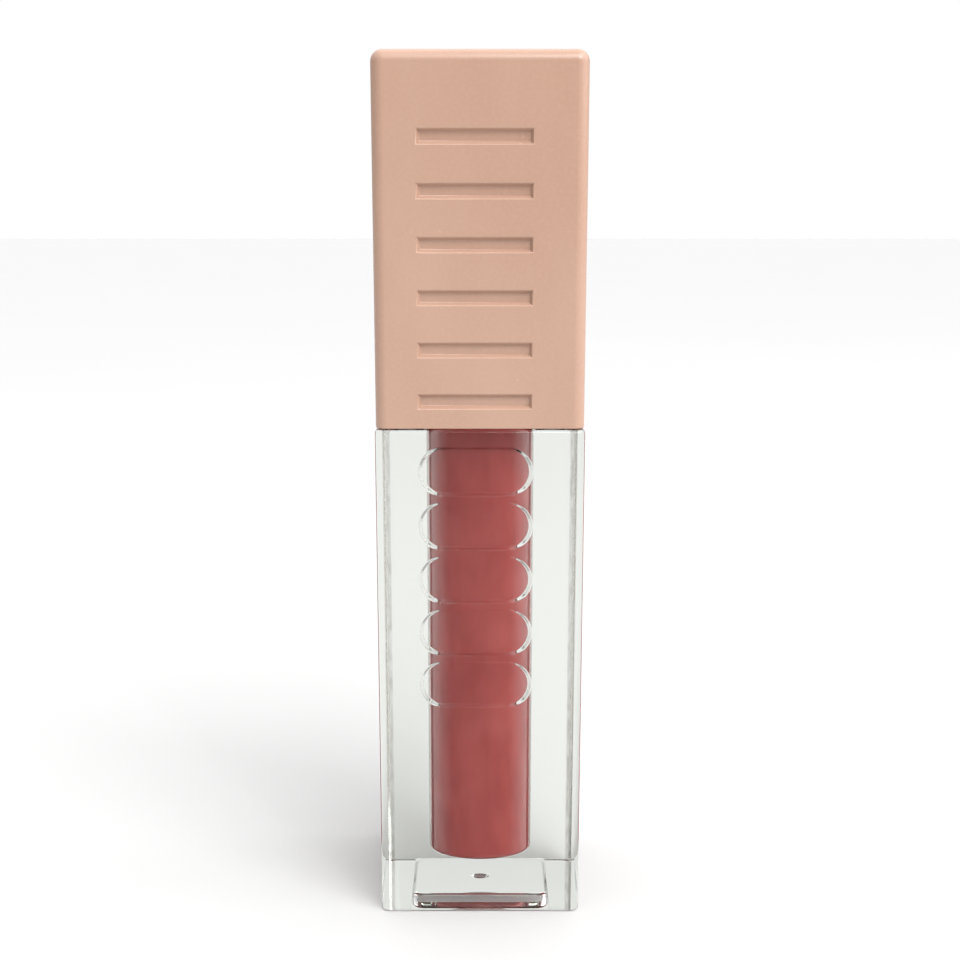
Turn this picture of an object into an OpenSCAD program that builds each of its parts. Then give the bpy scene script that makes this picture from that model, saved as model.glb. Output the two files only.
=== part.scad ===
// Square lip gloss tube: a thick-walled clear bottle with a round cavity, a wiper in its
// neck, and a square cap that carries the wand. Millimetres, +Z up, origin at the centre of
// the base, front face towards -Y.

/* [Bottle] */
// Width and depth of the bottle across its flats
bottle_w = 21.2; // [20:0.1:28]
// Height of the bottle from its runners to its shoulder
bottle_h = 52.2; // [40:0.1:80]
// Radius of the four upright edges
bottle_edge_r = 0.9; // [0.4:0.1:1.6]
// Radius of the edges round the base and round the shoulder
bottle_rim_r = 0.4; // [0.2:0.1:0.8]
// Radius of the cavity that holds the gloss
cavity_r = 5.6; // [4.2:0.1:5.9]
// Thickness of clear plastic under the cavity
floor_t = 4.55; // [3:0.05:7]

/* [Base] */
// Width of the runner that the bottle stands on at each side
runner_w = 3.1; // [2:0.1:3.5]
// Height of the base between the runners above the surface that they stand on
rim_lift = 0.15; // [0.1:0.05:0.4]
// Width of the sunk panel between the runners
recess_w = 14.9; // [11:0.1:15]
// Depth of the sunk panel
recess_h = 1.05; // [0.6:0.05:1.8]
// Corner radius of the sunk panel
recess_r = 1.4; // [0.8:0.1:3]
// Radius of the edge between the sunk panel and its walls
recess_top_r = 0.5; // [0.1:0.1:1.2]
// Radius of the moulding gate's mark
gate_r = 1; // [0.5:0.05:1.5]
// Height of the moulding gate's mark
gate_h = 0.45; // [0.1:0.05:0.5]

/* [Neck] */
// Wall of the neck round the cavity's bore
neck_wall = 1.3; // [1:0.1:1.4]
// Height of the neck above the shoulder
neck_h = 12.5; // [10:0.1:16]
// How far the thread stands out
thread_h = 0.8; // [0.5:0.05:0.9]
// Rise of the thread in one turn, for both starts together
thread_lead = 6; // [5.5:0.1:8]
// Turns that each start makes
thread_turns = 0.85; // [0.5:0.05:0.95]
// Height of the thread's centre line above the shoulder where it starts
thread_base = 3.2; // [2.6:0.1:4]

/* [Cap] */
// How much narrower the cap is than the bottle, each side
cap_inset = 0.1; // [0:0.05:0.4]
// Height of the cap
cap_h = 36.25; // [32:0.05:60]
// Gap between the cap and the shoulder
cap_gap = 0.15; // [0.05:0.05:0.4]
// Wall of the cap
cap_wall = 1.3; // [0.8:0.1:1.4]
// Thickness of the cap's top
cap_top = 1.6; // [1:0.1:3]
// Radius of the edge round the cap's top
cap_top_r = 1.1; // [0.4:0.1:1.6]
// Radius of the cap's upright edges
cap_edge_r = 1.1; // [0.4:0.1:1.6]
// Thickness of the ribs that hold the liner
rib_t = 1.2; // [0.8:0.1:2]
// How far the ribs reach in over the liner's top
rib_stop = 2.6; // [1:0.1:4]

/* [Liner] */
// Wall of the threaded liner
liner_wall = 0.85; // [0.6:0.05:0.9]
// Thickness of the liner's top disc
liner_top = 1.4; // [1:0.1:2.5]
// How far the liner stops short of the cap's lower edge
liner_short = 0.6; // [0.3:0.1:1.5]
// Clearance between the liner and the neck's thread, measured from the axis
thread_gap = 0.2; // [0.15:0.05:0.3]

/* [Seal] */
// Height of the wiper's flange on the neck
flange_h = 0.8; // [0.5:0.1:1.5]
// Depth of the wiper's straight body in the neck
wiper_body_h = 6.4; // [4:0.1:8]
// Depth of the wiper's funnel
wiper_funnel_h = 3; // [2:0.1:5]
// Wall of the wiper
wiper_wall = 0.8; // [0.5:0.05:1]
// Thickness of the sealing washer
washer_h = 0.8; // [0.5:0.1:1.5]
// Running clearance between pieces that turn or slide on one another
run_gap = 0.05; // [0.03:0.01:0.1]

/* [Wand] */
// Radius of the stem
stem_r = 2; // [1.4:0.05:2.2]
// Clearance between the stem and the wiper's lip
lip_gap = 0.12; // [0.08:0.01:0.3]
// Radius of the stem's plug in the liner
plug_r = 2.4; // [2.3:0.05:2.8]
// Radius of the stem's collar under the liner
collar_r = 3.8; // [3.4:0.1:4.1]
// Height of the stem's collar
collar_h = 0.9; // [0.6:0.1:1.2]
// Height of the applicator's tip above the cavity's floor
tip_lift = 3.2; // [2:0.1:8]
// Length of the flocked applicator
flock_l = 14; // [9:0.1:18]
// Thickness of the flocking
flock_t = 0.4; // [0.3:0.05:0.6]
// Length of the slanted face of the applicator
slant_l = 6.5; // [4:0.1:9]
// Distance of the applicator's point behind the wand's axis
slant_back = 0.5; // [0:0.1:0.9]
// Radius of the peg that joins the applicator to the stem
peg_r = 1; // [0.7:0.05:1.1]
// Length of that peg
peg_l = 5; // [3:0.1:8]

/* [Gloss] */
// Free height between the gloss and the wiper's funnel
fill_gap = 0.3; // [0.1:0.1:4]
// Clearance round the wand in the gloss
wake_gap = 0.25; // [0.2:0.05:0.6]

/* [Pattern] */
// Depth of the pattern sunk in the cap
bar_h = 0.5; // [0.2:0.05:0.7]
// Width of a bar on the cap
bar_l = 11.6; // [8:0.1:14]
// Height of a bar on the cap
bar_w = 1.7; // [1:0.1:2.4]
// Number of bars on the cap
bar_count = 6; // [3:1:6]
// Step from one bar to the next
bar_step = 5.1; // [3.5:0.05:5.3]
// Height of the lowest bar above the cap's lower edge
bar_first = 2.7; // [2:0.1:4]
// Sideways offset of the bars from the middle
bar_x = -0.5; // [-1:0.1:1]
// Depth of the pattern sunk in the bottle
pill_h = 0.45; // [0.2:0.05:0.8]
// Width of a pill on the bottle
pill_l = 11.7; // [9:0.1:14]
// Height of a pill on the bottle
pill_w = 5.2; // [3:0.1:5.4]
// Number of pills on the bottle
pill_count = 5; // [2:1:5]
// Step from one pill to the next
pill_step = 5.6; // [5.5:0.05:7]
// Distance of the highest pill below the shoulder
pill_first = 4.2; // [3.5:0.1:6]
// Sideways offset of the pills from the middle
pill_x = -0.45; // [-1:0.05:1]

/* [Hidden] */
$fn = 64;

corner_fn = 32;
thread_fn = 40;
over = 1;

// Threads: two starts, so neighbouring ridges are half a lead apart
thread_pitch = thread_lead / 2;
thread_root = 0.95;
thread_crest = 0.55;
inner_root = 0.8;
inner_crest = 0.4;
thread_sink = 0.3;

// Bottle and neck
neck_r = cavity_r + neck_wall;
thread_r = neck_r + thread_h;
neck_z = bottle_h + neck_h;

// Wiper, washer and liner, stacked on the neck
wiper_z = neck_z + flange_h;
washer_z = wiper_z + run_gap;
ceiling_z = washer_z + washer_h + run_gap;
lip_r = stem_r + lip_gap;
wiper_low_z = neck_z - wiper_body_h - wiper_funnel_h;
liner_bore_r = thread_r + thread_gap;
liner_r = liner_bore_r + liner_wall;
liner_z = bottle_h + cap_gap + liner_short;
liner_top_z = ceiling_z + liner_top;
inner_thread_h = liner_bore_r - neck_r - thread_gap;

// Cap
cap_w = bottle_w - 2 * cap_inset;
cap_z = bottle_h + cap_gap;
cap_top_z = cap_z + cap_h;
pocket_w = cap_w - 2 * cap_wall;
rib_stop_r = liner_r - rib_stop;

// Wand
tip_z = floor_t + tip_lift;
flock_r = stem_r - run_gap;
core_r = flock_r - flock_t;
flock_top_z = tip_z + flock_l;

// Gloss
fill_top_z = wiper_low_z - fill_gap;
wake_r = max(stem_r, flock_r) + wake_gap;

// A square post of width w from z0 up to z1, with its upright edges rounded by edge_r, its
// lower rim by low_r and its upper rim by high_r, which are at most edge_r
module square_post(w, z0, z1, edge_r, low_r, high_r) {
    arc = [0:15:90];
    low = min(low_r, edge_r);
    high = min(high_r, edge_r);
    profile = concat(
        [[0, z0]],
        [for (a = arc) [edge_r - low + low * sin(a), z0 + low - low * cos(a)]],
        [for (a = arc) [edge_r - high + high * cos(a), z1 - high + high * sin(a)]],
        [[0, z1]]);
    hull()
        for (x = [-1, 1], y = [-1, 1])
            translate([x * (w / 2 - edge_r), y * (w / 2 - edge_r), 0])
                rotate_extrude($fn = corner_fn) polygon(profile);
}

// A square outline of width w with corners of radius r
module round_square(w, r) {
    square([w - 2 * r, w], center = true);
    square([w, w - 2 * r], center = true);
    for (x = [-1, 1], y = [-1, 1])
        translate([x * (w / 2 - r), y * (w / 2 - r)]) circle(r);
}

// One helical ridge round the axis. It starts at height z, makes the given turns, and runs
// from radius foot_r, where it is 2 * foot_w high, to radius top_r, where it is 2 * top_w high.
module ridge(z, start, turns, foot_r, top_r, foot_w, top_w) {
    steps = ceil(turns * thread_fn);
    section = [[foot_r, -foot_w], [top_r, -top_w], [top_r, top_w], [foot_r, foot_w]];
    points = [for (i = [0:steps], p = section)
        let (turn = turns * i / steps, a = start + 360 * turn)
            [p[0] * cos(a), p[0] * sin(a), z + thread_lead * turn + p[1]]];
    sides = [for (i = [0:steps - 1], k = [0:3])
        let (a = 4 * i + k, b = 4 * i + (k + 1) % 4)
            each [[a, b, b + 4], [a, b + 4, a + 4]]];
    last = 4 * steps;
    ends = [[0, 2, 1], [0, 3, 2], [last, last + 1, last + 2], [last, last + 2, last + 3]];
    winding = top_r > foot_r ? concat(sides, ends)
                             : [for (f = concat(sides, ends)) [f[2], f[1], f[0]]];
    polyhedron(points, winding);
}

// A flat bar with round ends, sunk by depth into the front face of a post of width w
module sunk_pill(w, x, z, l, h, depth) {
    translate([x, -w / 2 + depth, z]) rotate([90, 0, 0]) linear_extrude(depth + over) {
        square([l - h, h], center = true);
        for (s = [-1, 1]) translate([s * (l - h) / 2, 0]) circle(h / 2);
    }
}

// A flat bar with square ends, sunk by depth into the front face of a post of width w
module sunk_bar(w, x, z, l, h, depth) {
    translate([x - l / 2, -w / 2 - over, z - h / 2]) cube([l, depth + over, h]);
}

module bottle() {
    color([0.9, 0.92, 0.9, 0.35])
    difference() {
        union() {
            square_post(bottle_w, 0, bottle_h, bottle_edge_r, bottle_rim_r, bottle_rim_r);
            translate([0, 0, bottle_h - over]) cylinder(r = neck_r, h = neck_h + over);
            for (start = [0, 180])
                ridge(bottle_h + thread_base, start, thread_turns,
                      neck_r - thread_sink, thread_r, thread_root, thread_crest);
        }
        translate([0, 0, floor_t]) cylinder(r = cavity_r, h = neck_z - floor_t + over);
        base_recess();
        for (i = [0:pill_count - 1])
            sunk_pill(bottle_w, pill_x, bottle_h - pill_first - i * pill_step,
                      pill_l, pill_w, pill_h);
    }
}

// The sunk panel, the gate's mark in it, and the relief that leaves a runner at each side
module base_recess() {
    difference() {
        square_post(recess_w, -over, recess_h, recess_r, bottle_rim_r, min(recess_top_r, recess_h));
        translate([0, 0, recess_h - gate_h]) cylinder(r = gate_r, h = gate_h + over);
    }
    span = bottle_w - 2 * runner_w;
    translate([-span / 2, -bottle_w, -over]) cube([span, 2 * bottle_w, rim_lift + over]);
}

module gloss_fill() {
    color([0.6, 0.3, 0.3])
    difference() {
        translate([0, 0, floor_t]) cylinder(r = cavity_r, h = fill_top_z - floor_t);
        translate([0, 0, tip_z - wake_gap]) cylinder(r = wake_r, h = fill_top_z);
    }
}

module wiper() {
    inner_r = cavity_r - wiper_wall;
    flange_r = neck_r - 0.3;
    body_z = neck_z - wiper_body_h;
    lip_h = 0.5;
    color([0.93, 0.93, 0.92])
    rotate_extrude() polygon([
        [inner_r, wiper_z], [flange_r, wiper_z], [flange_r, neck_z], [cavity_r, neck_z],
        [cavity_r, body_z], [lip_r + wiper_wall, wiper_low_z], [lip_r, wiper_low_z],
        [lip_r, wiper_low_z + lip_h], [inner_r, body_z + lip_h]]);
}

module sealing_washer() {
    color([0.96, 0.96, 0.95])
    translate([0, 0, washer_z]) difference() {
        cylinder(r = neck_r, h = washer_h);
        translate([0, 0, -over]) cylinder(r = collar_r + run_gap, h = washer_h + 2 * over);
    }
}

module cap_shell() {
    pocket_top_z = cap_top_z - cap_top;
    color([0.84, 0.69, 0.61])
    difference() {
        square_post(cap_w, cap_z, cap_top_z, cap_edge_r, bottle_rim_r / 2, cap_top_r);
        difference() {
            translate([0, 0, cap_z - over])
                linear_extrude(pocket_top_z - cap_z + over) round_square(pocket_w, cap_edge_r);
            for (a = [45, 135]) rotate([0, 0, a])
                translate([-cap_w, -rib_t / 2, liner_z])
                    cube([2 * cap_w, rib_t, cap_top_z - liner_z]);
        }
        translate([0, 0, cap_z - over]) cylinder(r = liner_r, h = liner_top_z - cap_z + over);
        translate([0, 0, cap_z]) cylinder(r = rib_stop_r, h = pocket_top_z - cap_z);
        for (i = [0:bar_count - 1])
            sunk_bar(cap_w, bar_x, cap_z + bar_first + i * bar_step, bar_l, bar_w, bar_h);
    }
}

module cap_liner() {
    color([0.95, 0.95, 0.94])
    difference() {
        union() {
            difference() {
                translate([0, 0, liner_z]) cylinder(r = liner_r, h = liner_top_z - liner_z);
                translate([0, 0, liner_z - over])
                    cylinder(r = liner_bore_r, h = ceiling_z - liner_z + over);
            }
            for (start = [0, 180])
                ridge(bottle_h + thread_base + thread_pitch / 2, start, thread_turns,
                      liner_bore_r + thread_sink, liner_bore_r - inner_thread_h,
                      inner_root, inner_crest);
        }
        translate([0, 0, ceiling_z - over]) cylinder(r = plug_r, h = liner_top + 2 * over);
    }
}

module wand_stem() {
    taper_h = 3;
    collar_z = ceiling_z - collar_h;
    color([0.95, 0.95, 0.94])
    difference() {
        union() {
            translate([0, 0, collar_z]) cylinder(r = collar_r, h = collar_h);
            translate([0, 0, ceiling_z]) cylinder(r = plug_r, h = liner_top);
            translate([0, 0, collar_z - taper_h]) cylinder(r1 = stem_r, r2 = plug_r, h = taper_h);
            translate([0, 0, flock_top_z]) cylinder(r = stem_r, h = collar_z - taper_h - flock_top_z);
        }
        translate([0, 0, flock_top_z - over]) cylinder(r = peg_r, h = peg_l + over);
    }
}

// A round tip of radius r whose front is cut away by a slanted plane, grown by skin
module doe_foot(r, z, top_z, skin) {
    slant = atan((core_r + slant_back) / slant_l);
    difference() {
        union() {
            translate([0, 0, z + r]) cylinder(r = r, h = top_z - z - r);
            translate([0, 0, z + r]) sphere(r);
        }
        translate([0, slant_back, tip_z]) rotate([slant, 0, 0])
            translate([-over - r, -8 * r - skin, -2 * slant_l])
                cube([2 * (r + over), 8 * r, 4 * slant_l]);
    }
}

module applicator_core() {
    color([0.9, 0.9, 0.88]) union() {
        doe_foot(core_r, tip_z + flock_t, flock_top_z, 0);
        translate([0, 0, flock_top_z - over]) cylinder(r = peg_r, h = peg_l + over - run_gap);
    }
}

module applicator_flock() {
    color([0.86, 0.6, 0.58])
    difference() {
        doe_foot(flock_r, tip_z, flock_top_z - run_gap, flock_t);
        doe_foot(core_r, tip_z + flock_t, flock_top_z + over, 0);
    }
}

bottle();
gloss_fill();
wiper();
sealing_washer();
cap_shell();
cap_liner();
wand_stem();
applicator_core();
applicator_flock();
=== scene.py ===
# %% [markdown]
# # A square lip gloss tube
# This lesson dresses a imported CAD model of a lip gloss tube: a thick clear bottle with a round
# column of gloss in it, and a square satin cap that carries the wand. The CAD model fixes every
# size, place and joint. Blender gives the softened edges, the wet colour and the small marks of
# moulding and handling that make plastic look like plastic.

# %% Load the CAD frame
import math

import bpy
import bmesh
import numpy as np
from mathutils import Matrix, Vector


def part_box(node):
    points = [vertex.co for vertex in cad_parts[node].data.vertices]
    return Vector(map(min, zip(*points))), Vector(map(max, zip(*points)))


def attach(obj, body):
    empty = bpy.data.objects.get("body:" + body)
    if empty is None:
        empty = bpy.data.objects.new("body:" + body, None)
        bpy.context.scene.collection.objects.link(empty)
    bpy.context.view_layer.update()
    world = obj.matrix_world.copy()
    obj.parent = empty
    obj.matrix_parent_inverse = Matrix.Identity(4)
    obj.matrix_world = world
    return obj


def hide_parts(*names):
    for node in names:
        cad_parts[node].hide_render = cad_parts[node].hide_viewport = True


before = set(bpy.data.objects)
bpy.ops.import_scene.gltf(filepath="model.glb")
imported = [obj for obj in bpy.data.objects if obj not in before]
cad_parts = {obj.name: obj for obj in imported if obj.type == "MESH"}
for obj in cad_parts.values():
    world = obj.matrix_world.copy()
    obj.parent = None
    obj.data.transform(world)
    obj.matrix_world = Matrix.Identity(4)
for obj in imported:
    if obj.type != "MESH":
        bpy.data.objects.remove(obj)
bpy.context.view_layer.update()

MM = 0.001

# %% [markdown]
# ## The tube's sizes
# The outer sizes come from the CAD nodes' own boxes, so this file follows the model when it
# changes. The softer sizes, such as the radius of a moulded edge, belong to the looks and are
# set here. All of them are in millimetres and are turned into metres where a mesh is made.

# %% Read the sizes
def box_mm(node):
    """The lowest and highest corner of a CAD node, in millimetres."""
    low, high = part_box(node)
    return low / MM, high / MM


BOTTLE_LOW, BOTTLE_HIGH = box_mm("bottle")
CAP_LOW, CAP_HIGH = box_mm("cap_shell")
GLOSS_LOW, GLOSS_HIGH = box_mm("gloss_fill")
WIPER_LOW, WIPER_HIGH = box_mm("wiper")
WASHER_LOW, WASHER_HIGH = box_mm("sealing_washer")
LINER_LOW, LINER_HIGH = box_mm("cap_liner")
STEM_LOW, STEM_HIGH = box_mm("wand_stem")
CORE_LOW, CORE_HIGH = box_mm("applicator_core")
FLOCK_LOW, FLOCK_HIGH = box_mm("applicator_flock")

CAP_GAP = 0.15
BOTTLE_W = BOTTLE_HIGH.x - BOTTLE_LOW.x
SHOULDER_Z = CAP_LOW.z - CAP_GAP
NECK_Z = BOTTLE_HIGH.z
CAP_W = CAP_HIGH.x - CAP_LOW.x
CAVITY_R = GLOSS_HIGH.x
FLOOR_Z = GLOSS_LOW.z
NECK_WALL = 1.3
NECK_R = CAVITY_R + NECK_WALL
THREAD_H = 0.8
THREAD_R = NECK_R + THREAD_H
THREAD_LEAD = 6.0
THREAD_TURNS = 0.85
THREAD_Z = SHOULDER_Z + 3.2
STEM_R = 2.0
print("bottle", round(BOTTLE_W, 2), "wide, shoulder at", round(SHOULDER_Z, 2))

# %% [markdown]
# ## Working by hand, in code
# In the viewport a modeller adds a primitive, goes into edit mode, picks edges and presses a
# key. The helpers below do the same through the same operators. Everything is deselected
# first, because an operator acts on all that is selected, and the CAD nodes arrive selected.

# %% Selection helpers
def only(obj):
    """Makes obj the one selected object."""
    if bpy.context.object and bpy.context.object.mode != "OBJECT":
        bpy.ops.object.mode_set(mode="OBJECT")
    bpy.ops.object.select_all(action="DESELECT")
    obj.select_set(True)
    bpy.context.view_layer.objects.active = obj
    return obj


def edit(obj, mode="EDGE"):
    """Opens obj in edit mode with nothing selected."""
    only(obj)
    bpy.ops.object.mode_set(mode="EDIT")
    bpy.ops.mesh.select_mode(type=mode)
    bpy.ops.mesh.select_all(action="DESELECT")


def done():
    bpy.ops.object.mode_set(mode="OBJECT")


def pick(obj, kind, test):
    """Selects the verts, edges or faces of obj in edit mode for which test is true."""
    mesh = bmesh.from_edit_mesh(obj.data)
    for element in getattr(mesh, kind):
        if test(element):
            element.select_set(True)
    mesh.select_flush_mode()
    bmesh.update_edit_mesh(obj.data)


def apply_place(obj, name):
    """Moves the object's place and size into its mesh and names it."""
    only(obj)
    bpy.ops.object.transform_apply(location=True, rotation=True, scale=True)
    obj.name = obj.data.name = name
    return obj


# %% Edge and boolean helpers
def bevel(obj, test, radius, segments):
    """Rounds the edges for which test is true, with a radius in millimetres."""
    edit(obj)
    pick(obj, "edges", test)
    bpy.ops.mesh.bevel(offset=radius * MM, segments=segments, profile=0.5, affect="EDGES")
    done()


def upright(edge):
    a, b = (v.co for v in edge.verts)
    return abs(a.z - b.z) > 0.9 * (a - b).length and (a - b).length > 0.5 * MM


def at_height(z):
    """A test for edges that lie flat at height z."""
    return lambda edge: all(abs(v.co.z - z * MM) < 0.01 * MM for v in edge.verts)


def boolean(obj, tool, operation):
    """Cuts tool out of obj, or joins it to obj, and removes the tool."""
    only(obj)
    change = obj.modifiers.new(operation.lower(), "BOOLEAN")
    change.operation = operation
    change.solver = "EXACT"
    change.object = tool
    bpy.ops.object.modifier_apply(modifier=change.name)
    bpy.data.objects.remove(tool)
    return obj


def tidy(obj, angle=32):
    """Merges doubled points and gives smooth, face-weighted shading with crisp real corners."""
    edit(obj, "VERT")
    bpy.ops.mesh.select_all(action="SELECT")
    bpy.ops.mesh.remove_doubles(threshold=0.0005 * MM)
    bpy.ops.mesh.normals_make_consistent(inside=False)
    done()
    bpy.ops.object.shade_smooth_by_angle(angle=math.radians(angle), keep_sharp_edges=False)
    weighting = obj.modifiers.new("weighting", "WEIGHTED_NORMAL")
    weighting.keep_sharp = True
    bpy.ops.object.modifier_apply(modifier=weighting.name)
    print(obj.name, len(obj.data.polygons), "faces")
    return obj


# %% [markdown]
# ## Turned shapes
# The wiper, washer, liner, stem and the cavity are all round, as their moulds are turned on a
# lathe. A ring of points is extruded along the outline, moved and scaled at each step. The
# Spin tool could do it too, but extruding a ring keeps the points in clean loops from the
# first step. Corners are softened in the outline before it is turned, by a small arc.

# %% Outline and turning helpers
def soften(outline, radii, steps=4, closed=True):
    """Replaces each corner of a list of (r, z) points by an arc of its radius."""
    count = len(outline)
    softened = []
    for i, (r, z) in enumerate(outline):
        radius = radii[i] if isinstance(radii, (list, tuple)) else radii
        inner = closed or 0 < i < count - 1
        if not inner or radius == 0:
            softened.append((r, z))
            continue
        corner = Vector((r, z))
        before = Vector(outline[i - 1]) - corner
        after = Vector(outline[(i + 1) % count]) - corner
        half = before.angle(after) / 2
        back = min(radius / math.tan(half), 0.45 * before.length, 0.45 * after.length)
        radius = back * math.tan(half)
        start = corner + before.normalized() * back
        end = corner + after.normalized() * back
        centre = corner + (before.normalized() + after.normalized()).normalized() * (
            radius / math.sin(half))
        for k in range(steps + 1):
            t = k / steps
            ray = ((start - centre) * (1 - t) + (end - centre) * t).normalized()
            softened.append(tuple(centre + ray * radius))
    return softened


def turned(name, outline, closed=True, sides=96):
    """A body turned from an outline of (r, z) points in millimetres.

    A closed outline makes a ring with a bore. An open one makes a solid whose first and last
    rings are filled with flat discs.
    """
    (r, z), rest = outline[0], outline[1:]
    bpy.ops.object.select_all(action="DESELECT")
    bpy.ops.mesh.primitive_circle_add(vertices=sides, radius=r * MM, location=(0, 0, z * MM),
                                      fill_type="NOTHING" if closed else "NGON")
    obj = apply_place(bpy.context.object, name)
    edit(obj, "EDGE" if closed else "FACE")
    bpy.ops.mesh.select_all(action="SELECT")
    for next_r, next_z in rest + ([outline[0]] if closed else []):
        bpy.ops.mesh.extrude_region_move(
            TRANSFORM_OT_translate={"value": (0, 0, (next_z - z) * MM)})
        grow = next_r / r
        bpy.ops.transform.resize(value=(grow, grow, 1), center_override=(0, 0, next_z * MM))
        r, z = next_r, next_z
    bpy.ops.mesh.select_all(action="SELECT")
    bpy.ops.mesh.remove_doubles(threshold=0.0005 * MM)
    bpy.ops.mesh.normals_make_consistent(inside=False)
    done()
    return obj


# %% [markdown]
# ## Screw threads
# A thread ridge is a small trapezoid that climbs as it goes round. The Screw modifier sweeps a
# flat face along a helix, which is exactly how a thread is drawn. Its two ends are then pulled
# into the wall, because a moulded thread runs out gently.

# %% Thread helper
THREAD_STEPS = 72
RUN_OUT = 0.08


def ridge(name, start, z, foot_r, top_r, foot_h, top_h):
    """One helical ridge between two radii, with the height of its foot and of its top."""
    mid_r, mid_z = (foot_r + top_r) / 2, z
    bpy.ops.object.select_all(action="DESELECT")
    bpy.ops.mesh.primitive_plane_add(size=MM, rotation=(math.pi / 2, 0, 0),
                                     location=(mid_r * MM, 0, mid_z * MM))
    obj = apply_place(bpy.context.object, name)
    for vert in obj.data.vertices:
        outer = vert.co.x > mid_r * MM
        is_top = outer == (top_r > foot_r)
        vert.co.x = (top_r if is_top else foot_r) * MM
        side = 1 if vert.co.z > z * MM else -1
        vert.co.z = (z + side * (top_h if is_top else foot_h) / 2) * MM
    screw = obj.modifiers.new("screw", "SCREW")
    screw.angle = 2 * math.pi * THREAD_TURNS
    screw.screw_offset = THREAD_LEAD * THREAD_TURNS * MM
    screw.steps = screw.render_steps = THREAD_STEPS
    only(obj)
    bpy.ops.object.modifier_apply(modifier=screw.name)
    run_out = RUN_OUT * THREAD_STEPS
    for i, vert in enumerate(obj.data.vertices):
        ring = i // 4
        t = min(ring, THREAD_STEPS - ring) / run_out
        if t < 1:
            radius = vert.co.xy.length
            wanted = foot_r * MM + (radius - foot_r * MM) * math.sin(t * math.pi / 2)
            vert.co.xy = vert.co.xy * (wanted / radius)
    edit(obj, "VERT")
    bpy.ops.mesh.select_all(action="SELECT")
    bpy.ops.mesh.fill_holes(sides=4)
    bpy.ops.mesh.select_all(action="SELECT")
    bpy.ops.mesh.normals_make_consistent(inside=False)
    bpy.ops.transform.rotate(value=start, orient_axis="Z", center_override=(0, 0, 0))
    if bmesh.from_edit_mesh(obj.data).calc_volume(signed=True) < 0:
        bpy.ops.mesh.flip_normals()
    done()
    return obj


print("helpers ready")

# %% [markdown]
# ## Sunk marks
# The front of the real tube has sunk marks moulded in it, with sloping sides. Each is cut by a
# tool of the same shape. The tool starts as a block in front of the face, and its inner face is
# inset again and again, a little deeper each time: first round the rim, then down the sloping
# wall, then round the foot of the wall. That gives a soft rim without any bevel afterwards.
# Where two round corners almost meet, the short edge between them is merged away first,
# because Inset crosses the two sides of so short an edge.

# %% Sunk mark helper
RIM_R = 0.2
FOOT_R = 0.15
WALL_ANGLE = math.radians(60)
SOFT_STEPS = 4
CORNER_STEPS = 16
TOOL_CLEAR = 0.003
TOOL_T = 1.0
SHORTEST_EDGE = 0.03


def sunk_tool(name, x, z, length, height, corner, depth, face_y):
    """A cutting tool for a sunk mark in a face at y = face_y that looks towards -Y."""
    bpy.ops.object.select_all(action="DESELECT")
    bpy.ops.mesh.primitive_cube_add(
        size=1, location=(x * MM, (face_y - TOOL_CLEAR - TOOL_T / 2) * MM, z * MM),
        scale=(length * MM, TOOL_T * MM, height * MM))
    obj = apply_place(bpy.context.object, name)
    if corner:
        bevel(obj, lambda e: abs(e.verts[0].co.y - e.verts[1].co.y) > 0.9 * TOOL_T * MM,
              corner, CORNER_STEPS)
    edit(obj, "FACE")
    bpy.ops.mesh.select_all(action="SELECT")
    bpy.ops.mesh.remove_doubles(threshold=SHORTEST_EDGE * MM)
    bpy.ops.mesh.select_all(action="DESELECT")
    pick(obj, "faces", lambda f: f.normal.y > 0.9)
    angles = [WALL_ANGLE * k / SOFT_STEPS for k in range(SOFT_STEPS + 1)]
    rim = [(RIM_R * (math.sin(b) - math.sin(a)), RIM_R * (math.cos(a) - math.cos(b)))
           for a, b in zip(angles, angles[1:])]
    foot = [(FOOT_R * (math.sin(b) - math.sin(a)), FOOT_R * (math.cos(a) - math.cos(b)))
            for a, b in zip(angles, angles[1:])][::-1]
    wall_depth = depth + TOOL_CLEAR - (RIM_R + FOOT_R) * (1 - math.cos(WALL_ANGLE))
    wall = [(wall_depth / math.tan(WALL_ANGLE), wall_depth)]
    for inwards, deeper in rim + wall + foot:
        bpy.ops.mesh.inset(thickness=inwards * MM, depth=deeper * MM)
    done()
    return obj


def block(name, width, z0, z1, edge_r=0, segments=6):
    """A square block from z0 to z1, with its upright edges rounded."""
    bpy.ops.object.select_all(action="DESELECT")
    bpy.ops.mesh.primitive_cube_add(size=1, location=(0, 0, (z0 + z1) / 2 * MM),
                                    scale=(width * MM, width * MM, (z1 - z0) * MM))
    obj = apply_place(bpy.context.object, name)
    if edge_r:
        bevel(obj, upright, edge_r, segments)
    return obj


# %% [markdown]
# ## The clear bottle
# The real bottle is moulded in one shot: a square block of clear plastic, 5 mm thick round a
# straight bore, with a threaded neck on top. A shallow relief underneath leaves a runner at
# each side, and a square panel with the mark of the mould's gate is sunk between them. A
# single closed mesh is needed, because light bends at each surface that it meets.

# %% The bottle's block, neck and threads
BOTTLE_EDGE_R = 0.9
SHOULDER_RIM_R = 0.4
BASE_RIM_R = 0.2

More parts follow.
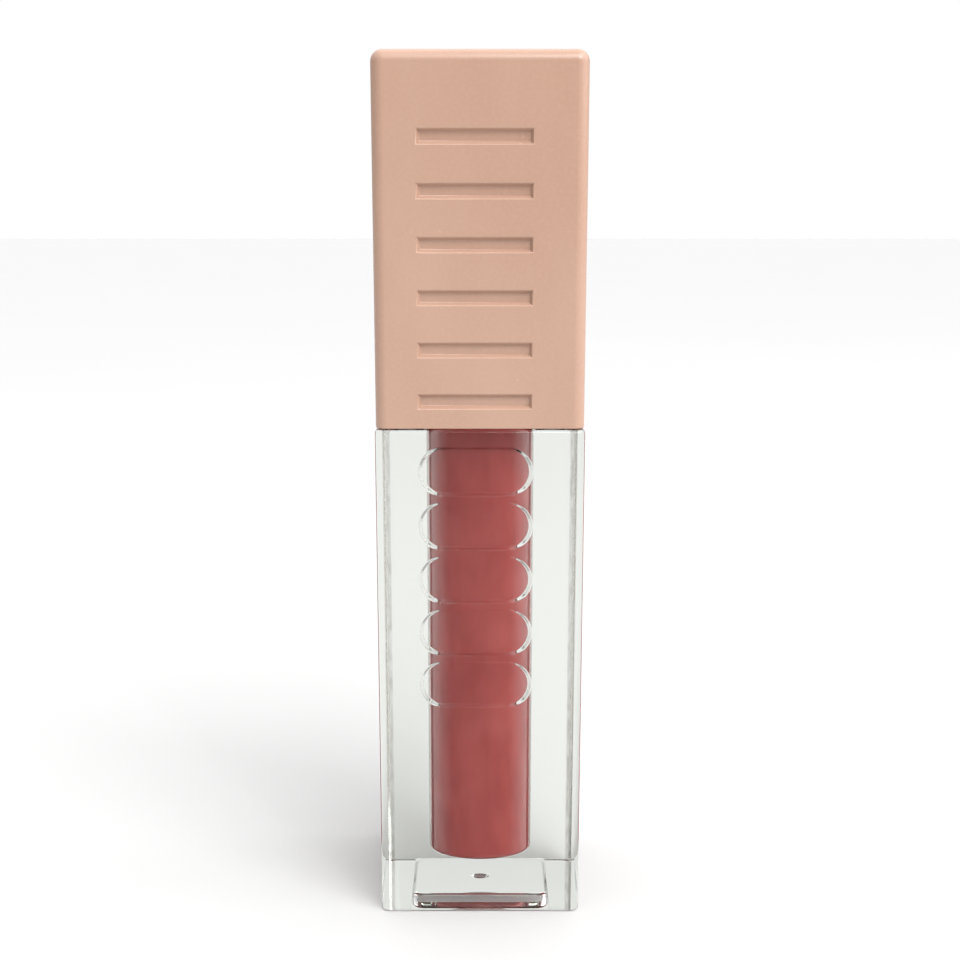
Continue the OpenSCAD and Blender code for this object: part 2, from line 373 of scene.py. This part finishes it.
bottle = block("clear_bottle", BOTTLE_W, 0, SHOULDER_Z, BOTTLE_EDGE_R)
bevel(bottle, at_height(0), BASE_RIM_R, 3)
bevel(bottle, at_height(SHOULDER_Z), SHOULDER_RIM_R, 4)
neck_outline = soften([(2, SHOULDER_Z - 1), (NECK_R, SHOULDER_Z - 1), (NECK_R, NECK_Z),
                       (CAVITY_R - 1, NECK_Z)], [0, 0, 0.15, 0], closed=False)
boolean(bottle, turned("neck", neck_outline, closed=False), "UNION")
for start in (0, math.pi):
    boolean(bottle, ridge("thread", start, THREAD_Z, NECK_R - 0.3, THREAD_R, 1.9, 1.1), "UNION")
print("threaded block", len(bottle.data.polygons), "faces")

# %% The bottle's bore
CAVITY_FOOT_R = 0.6

bore_outline = soften([(2, FLOOR_Z), (CAVITY_R, FLOOR_Z), (CAVITY_R, NECK_Z + 1)],
                      CAVITY_FOOT_R, steps=6, closed=False)
boolean(bottle, turned("bore", bore_outline, closed=False, sides=128), "DIFFERENCE")

# %% The bottle's sunk base
RUNNER_W = 3.1
RIM_LIFT = 0.15
RECESS_W = 14.9
RECESS_H = 1.05
RECESS_R = 1.4
RECESS_TOP_R = 0.5
RELIEF_R = 0.05
GATE_R = 1.0
GATE_H = 0.45
GATE_RIM_R = 0.15
GATE_CORE_R = 0.3

recess = block("recess", RECESS_W, -1, RECESS_H, RECESS_R, 8)
bevel(recess, at_height(RECESS_H), RECESS_TOP_R, 8)
gate_outline = soften(
    [(GATE_CORE_R, RECESS_H + 1), (GATE_R, RECESS_H + 1), (GATE_R, RECESS_H - GATE_H),
     (GATE_CORE_R, RECESS_H - GATE_H)],
    [0, 0, GATE_RIM_R, 0], closed=False)
boolean(recess, turned("gate", gate_outline, closed=False, sides=48), "DIFFERENCE")
boolean(bottle, recess, "DIFFERENCE")

span = BOTTLE_W - 2 * RUNNER_W
bpy.ops.object.select_all(action="DESELECT")
bpy.ops.mesh.primitive_cube_add(size=1, location=(0, 0, 0),
                                scale=(span * MM, 2 * BOTTLE_W * MM, 2 * RIM_LIFT * MM))
relief = apply_place(bpy.context.object, "relief")
bevel(relief, at_height(RIM_LIFT), RELIEF_R, 2)
boolean(bottle, relief, "DIFFERENCE")
print("base cut", len(bottle.data.polygons), "faces")

# %% The bottle's sunk pills
PILL_L = 11.7
PILL_W = 5.2
PILL_H = 0.45
PILL_COUNT = 5
PILL_STEP = 5.6
PILL_FIRST = 4.2
PILL_X = -0.45
PILL_CORNER_R = PILL_W / 2 - 0.01

for i in range(PILL_COUNT):
    pill_z = SHOULDER_Z - PILL_FIRST - i * PILL_STEP
    boolean(bottle, sunk_tool("pill", PILL_X, pill_z, PILL_L, PILL_W, PILL_CORNER_R, PILL_H,
                              -BOTTLE_W / 2), "DIFFERENCE")
tidy(bottle)

# %% [markdown]
# ## The gloss
# The gloss wets the wall of the bore, so no film of air lies between them. Its mesh therefore
# reaches a few hundredths of a millimetre into the plastic: light that comes through the
# bottle meets the gloss first, and the wall of the bore never shines like a tube of air.

# %% The column of gloss
WETTING = 0.03
WAKE_GAP = 0.25
GLOSS_TOP = GLOSS_HIGH.z

column_r = CAVITY_R + WETTING
wake_r = STEM_R + WAKE_GAP
gloss_outline = soften(
    [(2, FLOOR_Z - WETTING), (column_r, FLOOR_Z - WETTING), (column_r, GLOSS_TOP + 0.5),
     (column_r - 0.4, GLOSS_TOP), (wake_r, GLOSS_TOP), (wake_r, FLOCK_LOW.z - WAKE_GAP),
     (0.5, FLOCK_LOW.z - WAKE_GAP)],
    [0, CAVITY_FOOT_R, 0, 0.3, 0.1, 0.6, 0], steps=6, closed=False)
gloss = tidy(turned("gloss_column", gloss_outline, closed=False, sides=128))

# %% [markdown]
# ## The cap
# The cap is a square cover with a soft top edge, moulded in opaque plastic. Inside it is
# hollow, with four ribs that hold the round liner. The ribs are left standing by a tool that
# has them cut out of itself, as in the steel of a mould.

# %% The cap's outside
CAP_EDGE_R = 1.2
CAP_TOP_R = 1.15
CAP_FOOT_R = 0.06
CAP_WALL = 1.3
CAP_TOP = 1.6
RIB_T = 1.2
LINER_R = LINER_HIGH.x
SEAT_LEDGE = 2.6

cap = block("cap_cover", CAP_W, CAP_LOW.z, CAP_HIGH.z, CAP_EDGE_R, 8)
bevel(cap, at_height(CAP_HIGH.z), CAP_TOP_R, 8)
bevel(cap, at_height(CAP_LOW.z), CAP_FOOT_R, 2)

# %% The cap's inside
pocket_top = CAP_HIGH.z - CAP_TOP
pocket = block("pocket", CAP_W - 2 * CAP_WALL, CAP_LOW.z - 1, pocket_top, CAP_EDGE_R)
for turn in (45, 135):
    bpy.ops.object.select_all(action="DESELECT")
    bpy.ops.mesh.primitive_cube_add(
        size=1, location=(0, 0, (LINER_LOW.z + pocket_top + 1) / 2 * MM),
        rotation=(0, 0, math.radians(turn)),
        scale=(2 * CAP_W * MM, RIB_T * MM, (pocket_top + 1 - LINER_LOW.z) * MM))
    boolean(pocket, apply_place(bpy.context.object, "rib"), "DIFFERENCE")
for radius, top in ((LINER_R, LINER_HIGH.z), (LINER_R - SEAT_LEDGE, pocket_top)):
    seat = turned("seat", [(1, CAP_LOW.z - 1), (radius, CAP_LOW.z - 1), (radius, top), (1, top)],
                  closed=False)
    boolean(pocket, seat, "UNION")
boolean(cap, pocket, "DIFFERENCE")
print("cap hollowed", len(cap.data.polygons), "faces")

# %% The cap's sunk bars
BAR_L = 11.6
BAR_W = 1.7
BAR_H = 0.5
BAR_COUNT = 6
BAR_STEP = 5.1
BAR_FIRST = 2.7
BAR_X = -0.5

for i in range(BAR_COUNT):
    bar_z = CAP_LOW.z + BAR_FIRST + i * BAR_STEP
    boolean(cap, sunk_tool("bar", BAR_X, bar_z, BAR_L, BAR_W, 0, BAR_H, -CAP_W / 2),
            "DIFFERENCE")
tidy(cap)

# %% [markdown]
# ## The pieces inside
# With the cap on, the liner, seal, wiper and wand are hidden, and they come into view as it
# unscrews. They are turned from softened outlines that follow the CAD pieces they stand for.

# %% The liner, washer and wiper
LINER_TOP = 1.4
PLUG_R = 2.4
BORE_R = THREAD_R + 0.2
WASHER_BORE_R = 3.85
ceiling_z = LINER_HIGH.z - LINER_TOP

liner = turned("threaded_liner", soften(
    [(LINER_R, LINER_LOW.z), (LINER_R, LINER_HIGH.z), (PLUG_R, LINER_HIGH.z),
     (PLUG_R, ceiling_z), (BORE_R, ceiling_z), (BORE_R, LINER_LOW.z)],
    [0.2, 0.2, 0, 0, 0.2, 0.25]))
for start in (0, math.pi):
    boolean(liner, ridge("liner_thread", start, THREAD_Z + THREAD_LEAD / 4, BORE_R + 0.3,
                         NECK_R + 0.2, 1.6, 0.8), "UNION")
tidy(liner)

washer = tidy(turned("foam_washer", soften(
    [(NECK_R, WASHER_LOW.z), (NECK_R, WASHER_HIGH.z), (WASHER_BORE_R, WASHER_HIGH.z),
     (WASHER_BORE_R, WASHER_LOW.z)], 0.12)))

WIPER_WALL = 0.8
LIP_R = STEM_R + 0.12
FUNNEL_H = 3.0
wiper_body_z = WIPER_LOW.z + FUNNEL_H
wiper = tidy(turned("neck_wiper", soften(
    [(CAVITY_R - WIPER_WALL, WIPER_HIGH.z), (NECK_R - 0.3, WIPER_HIGH.z),
     (NECK_R - 0.3, NECK_Z), (CAVITY_R, NECK_Z), (CAVITY_R, wiper_body_z),
     (LIP_R + WIPER_WALL, WIPER_LOW.z), (LIP_R, WIPER_LOW.z), (LIP_R, WIPER_LOW.z + 0.5),
     (CAVITY_R - WIPER_WALL, wiper_body_z + 0.5)],
    [0.3, 0.2, 0.1, 0, 0.4, 0.2, 0.1, 0.2, 0.6])))

# %% The wand's stem
COLLAR_R = 3.8
COLLAR_H = 0.9
TAPER_H = 3.0
PEG_R = 1.0
PEG_L = 5.0
collar_z = ceiling_z - COLLAR_H

stem = tidy(turned("stem", soften(
    [(PEG_R, STEM_LOW.z + PEG_L), (PEG_R, STEM_LOW.z), (STEM_R, STEM_LOW.z),
     (STEM_R, collar_z - TAPER_H), (PLUG_R, collar_z), (COLLAR_R, collar_z),
     (COLLAR_R, ceiling_z), (PLUG_R, ceiling_z), (PLUG_R, STEM_HIGH.z), (0.6, STEM_HIGH.z)],
    [0, 0, 0.25, 1.5, 0.2, 0.2, 0.1, 0, 0.2, 0], closed=False), closed=False, sides=64))

# %% [markdown]
# ## The applicator
# The applicator is a slanted foot of plastic under a coat of short flock. The foot is turned,
# then cut by a slanted plane with Bisect, as the real one is moulded with a flat. The flock is
# a velvety skin with several thousand fine tapered hairs standing on it.

# %% The applicator's foot
SLANT_L = 6.5
SLANT_BACK = 0.5
FLOCK_T = 0.4
FLOCK_SKIN = 0.12
flock_r = FLOCK_HIGH.x
core_r = flock_r - FLOCK_T
slant = math.atan((core_r + SLANT_BACK) / SLANT_L)


def foot(name, radius, low, high, skin, extra=()):
    """A turned tip of the given radius whose front is cut by the slanted plane."""
    dome = [(radius * math.sin(a), low + radius - radius * math.cos(a))
            for a in [math.pi / 2 * k / 10 for k in range(1, 11)]]
    obj = turned(name, dome + [(radius, high)] + list(extra), closed=False, sides=64)
    edit(obj, "FACE")
    bpy.ops.mesh.select_all(action="SELECT")
    normal = Vector((0, -math.cos(slant), -math.sin(slant)))
    point = Vector((0, SLANT_BACK, FLOCK_LOW.z)) + normal * skin
    bpy.ops.mesh.bisect(plane_co=point * MM, plane_no=normal, use_fill=True, clear_outer=True)
    bpy.ops.mesh.bevel(offset=0.2 * MM, segments=3, affect="EDGES")
    done()
    return obj


core = tidy(foot("core", core_r, CORE_LOW.z, STEM_LOW.z, 0,
                 [(PEG_R, STEM_LOW.z), (PEG_R, CORE_HIGH.z)]))
flock = foot("flock", flock_r - FLOCK_SKIN, FLOCK_LOW.z + FLOCK_SKIN, FLOCK_HIGH.z,
             FLOCK_T - FLOCK_SKIN)
tidy(flock, 60)

# %% The applicator's hairs
HAIR_COUNT = 9000
HAIR_L = 0.2
HAIR_R = 0.016
HAIR_ROOT = 0.03
HAIR_LEAN = 0.28
HAIR_SHORTEST = 0.6


def hairs(skin, name):
    """One mesh of fine tapered hairs that stand on the skin, spread evenly by area."""
    rng = np.random.default_rng(7)
    mesh = bmesh.new()
    mesh.from_mesh(skin.data)
    bmesh.ops.triangulate(mesh, faces=mesh.faces)
    corners = np.array([[v.co for v in f.verts] for f in mesh.faces])
    mesh.free()
    normal = np.cross(corners[:, 1] - corners[:, 0], corners[:, 2] - corners[:, 0])
    area = np.linalg.norm(normal, axis=1)
    normal /= area[:, None] + 1e-20
    face = rng.choice(len(corners), HAIR_COUNT, p=area / area.sum())
    u, v = rng.random((2, HAIR_COUNT, 1))
    flip = u + v > 1
    u, v = np.where(flip, 1 - u, u), np.where(flip, 1 - v, v)
    root = corners[face, 0] * (1 - u - v) + corners[face, 1] * u + corners[face, 2] * v
    lean = normal[face] + rng.normal(0, HAIR_LEAN, (HAIR_COUNT, 3))
    lean /= np.linalg.norm(lean, axis=1)[:, None]
    side = np.cross(lean, rng.normal(size=(HAIR_COUNT, 3)))
    side /= np.linalg.norm(side, axis=1)[:, None]
    other = np.cross(lean, side)
    length = HAIR_L * MM * rng.uniform(HAIR_SHORTEST, 1.0, (HAIR_COUNT, 1))
    base = root - normal[face] * HAIR_ROOT * MM
    ring = [base + HAIR_R * MM * (side * math.cos(a) + other * math.sin(a))
            for a in (0, 2 * math.pi / 3, 4 * math.pi / 3)]
    points = np.stack(ring + [root + lean * length], axis=1).reshape(-1, 3)
    sides = np.array([[0, 1, 3], [1, 2, 3], [2, 0, 3], [2, 1, 0]])
    faces = (sides[None] + 4 * np.arange(HAIR_COUNT)[:, None, None]).reshape(-1, 3)
    data = bpy.data.meshes.new(name)
    data.from_pydata(points.tolist(), [], faces.tolist())
    obj = bpy.data.objects.new(name, data)
    bpy.context.scene.collection.objects.link(obj)
    return obj


flock_hairs = hairs(flock, "flock_hairs")
print("hairs", len(flock_hairs.data.polygons), "faces")

# %% [markdown]
# ## A small language for materials
# A node tree is a formula, so it reads best as one. Wire wraps a socket and turns Python's
# operators into Math nodes. Nodes wraps a tree: its one method adds any other node, with the
# settings first, because some of them change which sockets the node has.

# %% Wires and nodes
class Wire:
    """An output socket that Python's operators work on."""

    def __init__(self, nodes, socket):
        self.nodes = nodes
        self.socket = socket

    def maths(self, operation, first, second):
        return self.nodes.node("Math", {"operation": operation}, {0: first, 1: second})

    def __add__(self, other):
        return self.maths("ADD", self, other)

    def __radd__(self, other):
        return self.maths("ADD", other, self)

    def __sub__(self, other):
        return self.maths("SUBTRACT", self, other)

    def __rsub__(self, other):
        return self.maths("SUBTRACT", other, self)

    def __mul__(self, other):
        return self.maths("MULTIPLY", self, other)

    def __rmul__(self, other):
        return self.maths("MULTIPLY", other, self)

    def __truediv__(self, other):
        return self.maths("DIVIDE", self, other)

    def __rtruediv__(self, other):
        return self.maths("DIVIDE", other, self)


class Nodes:
    """A node tree, with the few ways in which nodes are added to it."""

    def __init__(self, tree):
        self.tree = tree

    def node(self, kind, settings, inputs, output=0):
        """Adds a node, sets its settings, then its inputs, and gives the wire from an output."""
        made = self.tree.nodes.new("ShaderNode" + kind)
        for label, value in settings.items():
            if label == "stops":
                self.set_stops(made.color_ramp, value)
            else:
                setattr(made, label, value)
        for label, value in inputs.items():
            if isinstance(value, Wire):
                self.tree.links.new(value.socket, made.inputs[label])
            else:
                made.inputs[label].default_value = value
        return Wire(self, made.outputs[output])

    def set_stops(self, ramp, stops):
        while len(ramp.elements) < len(stops):
            ramp.elements.new(0.5)
        for element, (position, value) in zip(ramp.elements, stops):
            element.position = position
            element.color = (value, value, value, 1)

    def ramp(self, value, *stops):
        """Bends a value through (position, value) stops."""
        return self.node("ValToRGB", {"stops": stops}, {0: value})

    def mix(self, share, first, second):
        """Blends two colours, the second by the given share."""
        return self.node("Mix", {"data_type": "RGBA"}, {0: share, 6: first, 7: second}, 2)

    def part(self, vector, axis):
        """One component of a vector, X, Y or Z."""
        return self.node("SeparateXYZ", {}, {0: vector}, axis)


class Finish(Nodes):
    """A material made of nodes round one Principled shader."""

    def __init__(self, name, **constants):
        self.material = bpy.data.materials.new(name)
        self.material.use_nodes = True
        super().__init__(self.material.node_tree)
        self.shader = self.tree.nodes["Principled BSDF"]
        self.output = self.tree.nodes["Material Output"]
        self.place = self.node("TexCoord", {}, {}, "Object")
        for label, value in constants.items():
            self.shader.inputs[label.replace("_", " ")].default_value = value

    def noise(self, size, detail=2, stretch=(1, 1, 1)):
        """Noise whose lumps are about size millimetres across, from 0 to 1."""
        place = self.node("Mapping", {}, {"Vector": self.place, "Scale": stretch})
        return self.node("TexNoise", {}, {"Vector": place, "Scale": 1 / (size * MM),
                                          "Detail": detail})

    def bump(self, height, depth):
        """Turns a height from 0 to 1 into relief of the given depth in millimetres."""
        self.feed("Normal", self.node("Bump", {}, {"Height": height, "Distance": depth * MM}))

    def feed(self, label, wire):
        self.tree.links.new(wire.socket, self.shader.inputs[label])

    def wear(self, obj):
        """Gives this finish to a piece, in place of any that it has."""
        obj.data.materials.clear()
        obj.data.materials.append(self.material)


def srgb(red, green, blue):
    """A colour as a paint chart gives it, from 0 to 255, in the linear form nodes use."""
    def linear(c):
        c /= 255
        return c / 12.92 if c <= 0.04045 else ((c + 0.055) / 1.055) ** 2.4
    return (linear(red), linear(green), linear(blue), 1)


print("material helpers ready")

# %% [markdown]
# ## Satin cap plastic
# The cap is a nude pink plastic with pigment and a fine mould texture. Seen close it isn't
# one colour: the pigment flows a little as it fills the mould, and fine scratches catch light.

# %% The cap's finish
cap_finish = Finish("nude_satin_plastic", Roughness=0.34, IOR=1.49, Coat_Weight=0.1,
                    Coat_Roughness=0.2)
CAP_BASE = srgb(178, 144, 125)
CAP_DEEP = srgb(173, 138, 119)
CAP_PALE = srgb(184, 151, 132)
flow = cap_finish.noise(9, 3, (1, 1, 0.4))
grain = cap_finish.noise(0.35, 2)
tone = cap_finish.mix(cap_finish.ramp(flow, (0.35, 0), (0.65, 1)), CAP_BASE, CAP_DEEP)
tone = cap_finish.mix(cap_finish.ramp(grain, (0.45, 0), (0.75, 0.35)), tone, CAP_PALE)
cap_finish.feed("Base Color", tone)
haze = cap_finish.noise(3, 3)
cap_finish.feed("Roughness", 0.2 + haze * 0.1)
peel = cap_finish.noise(0.5, 2)
pores = cap_finish.noise(0.09, 1)
cap_finish.bump(peel * 0.7 + pores * 0.3, 0.004)
cap_finish.wear(cap)

# %% [markdown]
# ## Clear bottle plastic
# The bottle is thick, so its plastic shows what a thin sheet hides: a grey-green cast where the
# light's path is long. A plain Volume Absorption does that. The surface is glossy, and slightly
# wavy from the mould. Only two places are matt: the back upright edges, with a mottled grain,
# and the scar that the gate leaves in the base. Both are also painted grey in their colour, as
# painted shade for the dark that the rounded back edges and the gate's knob show through the
# plastic.

# %% The bottle's finish
PLASTIC_CAST = (0.52, 0.568, 0.476, 1)
CAST_DENSITY = 22

clear_finish = Finish("clear_bottle_plastic", IOR=1.5, Transmission_Weight=1.0,
                      Specular_Tint=(0.5, 0.5, 0.5, 1))
absorption = clear_finish.node("VolumeAbsorption", {},
                               {"Color": PLASTIC_CAST, "Density": CAST_DENSITY})
clear_finish.tree.links.new(absorption.socket, clear_finish.output.inputs["Volume"])
ripple = clear_finish.noise(6, 1)

# %% The bottle's back edges and gate scar: grain and painted shade
EDGE_BAND = 0.8
CLEAR = (1, 1, 1, 1)
# Painted shade: a grey tint on the back edges and the gate scar, for the dark they show through
# the plastic.
PAINTED_SHADE_GREY = (0.42, 0.39, 0.38, 1)

across = clear_finish.part(clear_finish.place, "X") / MM
deep = clear_finish.part(clear_finish.place, "Y") / MM
up = clear_finish.part(clear_finish.place, "Z") / MM
outwards = across.maths("ABSOLUTE", across, 0)
# The back upright edges: a mottled grain in roughness and bump, and painted shade in the colour.
edge_grain_and_shade = (clear_finish.ramp(outwards - (BOTTLE_W / 2 - EDGE_BAND), (0, 0), (0.2, 1))
        * clear_finish.ramp(deep - (BOTTLE_W / 2 - BOTTLE_EDGE_R), (0, 0), (0.2, 1)))
mottle = clear_finish.noise(0.45, 3, (1, 1, 0.3))
from_axis = across.maths("SQRT", across * across + deep * deep, 0)
# The gate scar: rough for real, and painted grey as painted shade for the dark knob seen through
# the base.
scar_and_shade = (1 - clear_finish.ramp(from_axis / 4, (GATE_R / 4, 0), (GATE_R / 3.8, 1))) * (
    1 - clear_finish.ramp(up / 10, (RECESS_H / 10 - 0.01, 0), (RECESS_H / 10, 1)))
# How much painted shade goes into the colour, on the back edges and on the gate scar.
grey = edge_grain_and_shade * clear_finish.ramp(mottle, (0.35, 0.45), (0.65, 1)) + scar_and_shade * 0.3
clear_finish.feed("Base Color", clear_finish.mix(grey, CLEAR, PAINTED_SHADE_GREY))
clear_finish.feed("Roughness", edge_grain_and_shade * 0.25 + scar_and_shade * 0.3)
clear_finish.bump(ripple + mottle * edge_grain_and_shade * 0.6, 0.012)
clear_finish.wear(bottle)

# %% [markdown]
# ## Gloss
# The gloss is an opaque rose-brown cream. Through the plastic it has no shine of its own,
# because nothing but plastic touches it, so its own specular is kept low. Only close to the
# column's outline, where the eye looks along the wall, does the wall turn into a mirror.

# %% The gloss's finish
gloss_finish = Finish("rose_gloss", Roughness=0.35, IOR=1.46, Specular_IOR_Level=0.1)
GLOSS_BASE = srgb(184, 84, 81)
GLOSS_DEEP = srgb(171, 73, 71)
GLOSS_PALE = srgb(195, 99, 95)
MIRROR_GREY = (0.9, 0.9, 0.9, 1)
MIRROR_ROUGHNESS = 0.05
streaks = gloss_finish.noise(2.2, 3, (1, 1, 0.35))
clouds = gloss_finish.noise(6, 2)
tone = gloss_finish.mix(gloss_finish.ramp(streaks, (0.4, 0), (0.7, 1)), GLOSS_BASE, GLOSS_DEEP)
tone = gloss_finish.mix(gloss_finish.ramp(clouds, (0.5, 0), (0.8, 0.6)), tone, GLOSS_PALE)
gloss_finish.feed("Base Color", tone)
gloss_finish.bump(streaks, 0.02)
along = gloss_finish.node("LayerWeight", {}, {}, "Facing")
mirror = gloss_finish.node("BsdfGlossy", {},
                           {"Color": MIRROR_GREY, "Roughness": MIRROR_ROUGHNESS})
body = Wire(gloss_finish, gloss_finish.shader.outputs[0])
rim = gloss_finish.ramp(along, (0.2, 0), (0.37, 0.08), (0.56, 0.2), (0.7, 0.36), (0.78, 0.8))
both = gloss_finish.node("MixShader", {}, {0: rim, 1: body, 2: mirror})
gloss_finish.tree.links.new(both.socket, gloss_finish.output.inputs["Surface"])
gloss_finish.wear(gloss)

# %% [markdown]
# ## The hidden pieces
# The liner, stem, wiper and washer are plain white and natural plastics. The wand has been in
# the gloss, so its lower part keeps a thin film of it, and the flock is soaked.

# %% The inner plastics' finishes
def white_plastic(name, colour, roughness, speck=0.4):
    """A white moulded plastic with a faint cloudiness and a fine mould grain."""
    finish = Finish(name, Roughness=roughness, IOR=1.49)
    clouds = finish.noise(4, 3)
    shade = tuple(c * 0.9 for c in colour[:3]) + (1,)
    finish.feed("Base Color", finish.mix(finish.ramp(clouds, (0.4, 0), (0.7, 1)), colour, shade))
    finish.feed("Roughness", roughness + clouds * 0.1)
    finish.bump(finish.noise(speck, 2), 0.01)
    return finish


white_plastic("liner_white", srgb(236, 234, 229), 0.4).wear(liner)
white_plastic("wiper_white", srgb(228, 229, 226), 0.45).wear(wiper)

foam = Finish("washer_foam", Roughness=0.85)
cells = foam.node("TexVoronoi", {}, {"Vector": foam.place, "Scale": 1 / (0.25 * MM)})
foam.feed("Base Color", foam.mix(cells, srgb(240, 239, 235), srgb(214, 212, 206)))
foam.bump(cells, 0.05)
foam.wear(washer)

# %% The wand's finish
def film_share(finish, low, high, break_up):
    """How much gloss clings, from 1 below height low to 0 above high, with a ragged edge."""
    height = finish.part(finish.place, "Z") / MM
    ragged = (height - low) / (high - low) + (break_up - 0.5) * 0.9
    return finish.ramp(ragged, (0.0, 1), (1.0, 0))


FILM_LOW = 1
FILM_HIGH = 26

stem_finish = Finish("stem_white_with_film", Roughness=0.3, IOR=1.49)
drips = stem_finish.noise(1.6, 3, (1, 1, 0.25))
film = film_share(stem_finish, STEM_LOW.z + FILM_LOW, STEM_LOW.z + FILM_HIGH, drips)
stem_finish.feed("Base Color", stem_finish.mix(film, srgb(238, 236, 232), srgb(188, 108, 106)))
stem_finish.feed("Roughness", 0.34 - film * 0.22)
stem_finish.bump(drips * film, 0.05)
stem_finish.wear(stem)
white_plastic("core_nylon", srgb(225, 214, 208), 0.5).wear(core)

flock_finish = Finish("soaked_flock", Roughness=0.55, Sheen_Weight=0.3, Sheen_Roughness=0.4)
soak = flock_finish.noise(1.2, 3)
flock_finish.feed("Base Color", flock_finish.mix(
    flock_finish.ramp(soak, (0.35, 0), (0.65, 1)), srgb(196, 112, 108), srgb(166, 84, 84)))
flock_finish.bump(flock_finish.noise(0.12, 2), 0.04)
flock_finish.wear(flock)
flock_finish.wear(flock_hairs)

# %% [markdown]
# ## Putting the pieces on the frame
# Each piece stands for its CAD node, which is hidden, and moves with that node's body. Each row
# also carries the name of a slot for its finish, which the loop doesn't use.

# %% Ride and replace
PLACES = [
    (bottle, "bottle", "bottle", "clear_plastic"),
    (gloss, "gloss_fill", "bottle", "gloss"),
    (wiper, "wiper", "bottle", "wiper_plastic"),
    (washer, "sealing_washer", "seal", "washer_foam"),
    (cap, "cap_shell", "cap", "cap_plastic"),
    (liner, "cap_liner", "cap", "liner_plastic"),
    (stem, "wand_stem", "cap", "stem_plastic"),
    (core, "applicator_core", "cap", "core_plastic"),
    (flock, "applicator_flock", "cap", "flock"),
    (flock_hairs, "applicator_flock", "cap", "flock"),
]
for piece, node, body_name, slot in PLACES:
    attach(piece, body_name)
    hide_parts(node)
print(len(PLACES), "pieces in place")

# %% [markdown]
# ## Studio
# The tube stands on a plain white table under a broad bright ceiling. The room behind the
# camera is darker, which is what draws the edges of anything clear: light plastic would vanish
# in a room that is white all round. A sun with a wide angle adds a soft shadow, a softbox at
# the right draws that shadow out to the left, and one small lamp adds the pinpoints of light
# on the rims of the sunk marks.

# %% The table
TABLE_SIZE = 8
TABLE_GAP = 0.02
TABLE_GREY = (0.545, 0.545, 0.545, 1)
TABLE_PALE = (0.555, 0.555, 0.555, 1)

bpy.ops.object.select_all(action="DESELECT")
bpy.ops.mesh.primitive_grid_add(x_subdivisions=8, y_subdivisions=8, size=TABLE_SIZE,
                                location=(0, 0, -TABLE_GAP * MM))
table = apply_place(bpy.context.object, "table")
table_finish = Finish("white_table", Roughness=0.7, Specular_IOR_Level=0.2)
table_finish.feed("Base Color",
                  table_finish.mix(table_finish.noise(120), TABLE_GREY, TABLE_PALE))
table_finish.wear(table)

# %% The sun, the softbox and the pinpoint lamp
SUN_FROM = Vector((0.4, -0.7, 0.8))
SUN_WIDTH = math.radians(45)
SUN_STRENGTH = 2.6
SOFTBOX_FROM = Vector((0.45, -0.12, 0.36))
SOFTBOX_SIZE = 0.6
SOFTBOX_POWER = 2.0
PINPOINT_FROM = Vector((0.22, -0.42, 0.42))
PINPOINT_SIZE = 0.03
PINPOINT_POWER = 0.25
AIM = Vector((0, 0, 0.04))


def light(kind, place, **values):
    """Adds a light that looks at the middle of the tube."""
    bpy.ops.object.light_add(type=kind, location=place)
    made = bpy.context.object
    ray = made.location - AIM
    made.rotation_euler = ray.to_track_quat("Z", "Y").to_euler()
    for label, value in values.items():
        setattr(made.data, label, value)


light("SUN", SUN_FROM, angle=SUN_WIDTH, energy=SUN_STRENGTH)
light("AREA", SOFTBOX_FROM, shape="SQUARE", size=SOFTBOX_SIZE, energy=SOFTBOX_POWER)
light("AREA", PINPOINT_FROM, shape="DISK", size=PINPOINT_SIZE, energy=PINPOINT_POWER)

# %% The room
FRONT_LEVEL = 0.15
BACK_LEVEL = 0.62
CEILING_LEVEL = 1.2

world = bpy.data.worlds.new("room")
bpy.context.scene.world = world
world.use_nodes = True
room = Nodes(world.node_tree)
gaze = room.node("TexCoord", {}, {}, "Generated")
to_back = room.ramp(room.part(gaze, "Y") * 0.5 + 0.5, (0.2, 0), (0.75, 1))
to_ceiling = room.ramp(room.part(gaze, "Z"), (0.25, 0), (0.9, 1))
level = FRONT_LEVEL + to_back * (BACK_LEVEL - FRONT_LEVEL) + to_ceiling * CEILING_LEVEL
seen = room.node("LightPath", {}, {}, "Is Camera Ray")
background = world.node_tree.nodes["Background"]
background.inputs["Color"].default_value = (1, 1, 1, 1)
level = level * (1 - seen) + seen
world.node_tree.links.new(level.socket, background.inputs["Strength"])
bpy.context.scene.view_settings.view_transform = "Standard"

# %% [markdown]
# ## Camera
# The camera looks slightly down at the front of the tube from 16 cm away, so the tube narrows
# towards its foot. The lens is shifted a little, as the framing crops more below than above.

# %% Camera
CAMERA_BACK = 0.161
CAMERA_HEIGHT = 0.0736
CAMERA_TILT = math.radians(13.26)
SENSOR = 36
LENS = 56.74
LENS_SHIFT = 0.0908

bpy.ops.object.camera_add(location=(0, -CAMERA_BACK, CAMERA_HEIGHT),
                          rotation=(math.pi / 2 - CAMERA_TILT, 0, 0))
camera = bpy.context.object
camera.data.sensor_width = SENSOR
camera.data.lens = LENS
camera.data.shift_y = LENS_SHIFT
camera.data.clip_start = 0.01
bpy.context.scene.camera = camera
